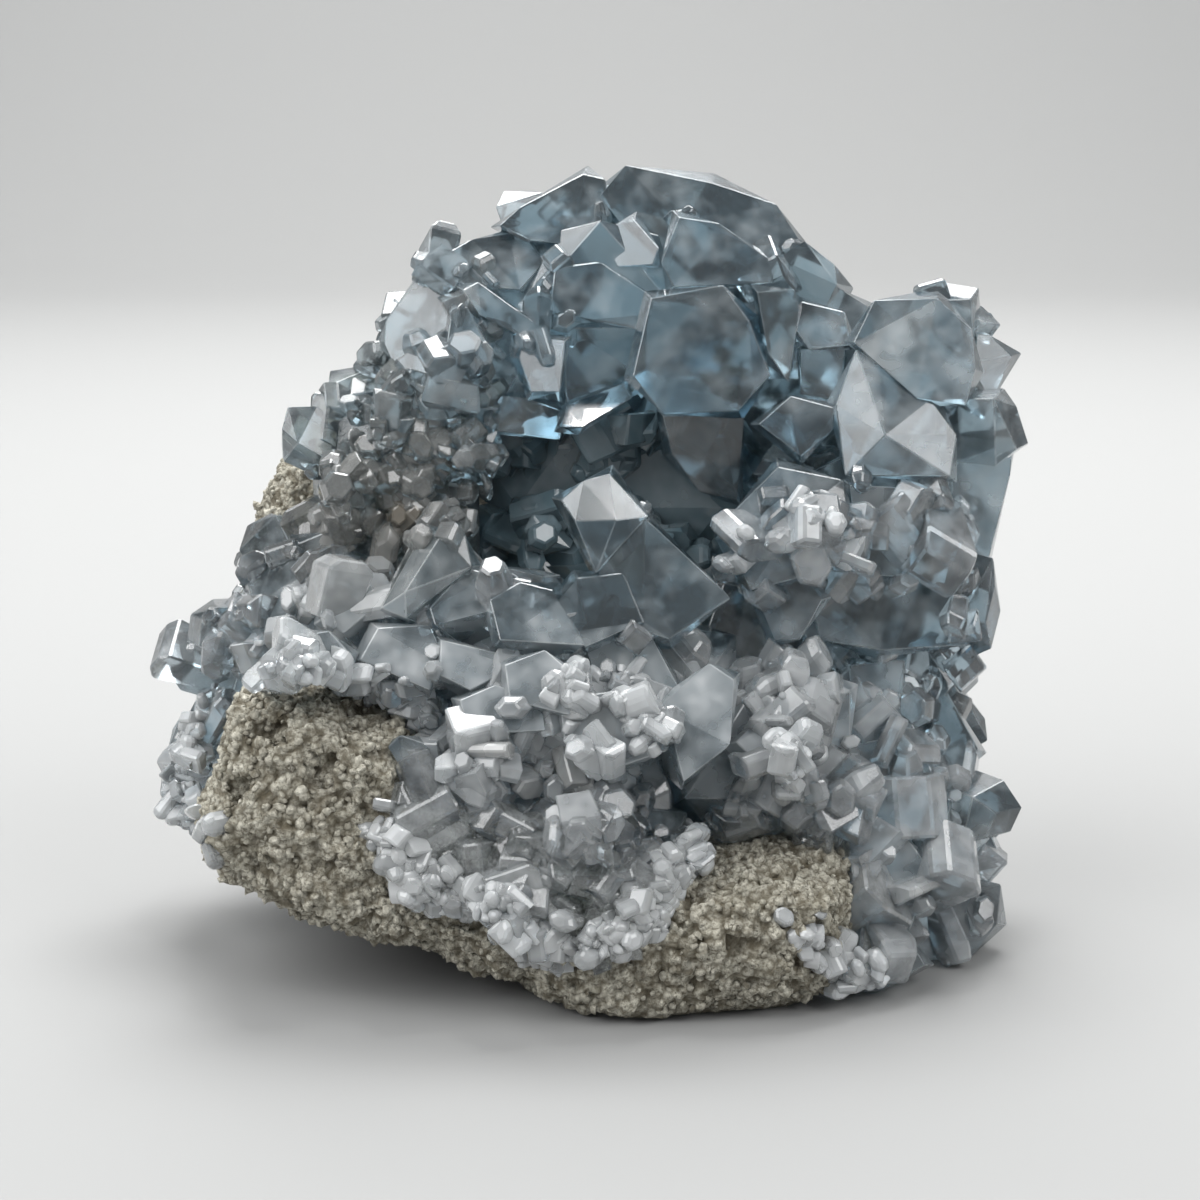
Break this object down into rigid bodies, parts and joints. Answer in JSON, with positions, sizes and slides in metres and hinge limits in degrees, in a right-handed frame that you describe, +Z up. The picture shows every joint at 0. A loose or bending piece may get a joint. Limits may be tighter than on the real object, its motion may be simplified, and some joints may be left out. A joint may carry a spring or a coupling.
{
  "type": "celestite geode",
  "caption": "Natural mineral specimen: blocky blue-grey clear celestite crystals grown on a cream rock matrix around an open hollow, standing on a flat spot under the rock.",
  "frame": {"origin": "middle of the bottom of the whole specimen's box, on the table", "axes": "+Z up; +X to the right along the long side as seen from the front; +Y from the open front towards the back"},
  "size_m": [0.0898, 0.058, 0.0778],
  "materials": {
    "matrix_rock": "rough, grainy cream-grey marl with pits and a banded underside",
    "celestite": "clear to milky grey-blue crystal with flat glossy faces",
    "celestite_crust": "small clear dark teal-blue crystals grown together as a crust"
  },
  "bodies": {
    "root": {"matrix": "matrix_rock", "crystal_cluster": "celestite", "hollow_crust": "celestite_crust"}
  },
  "joints": []
}
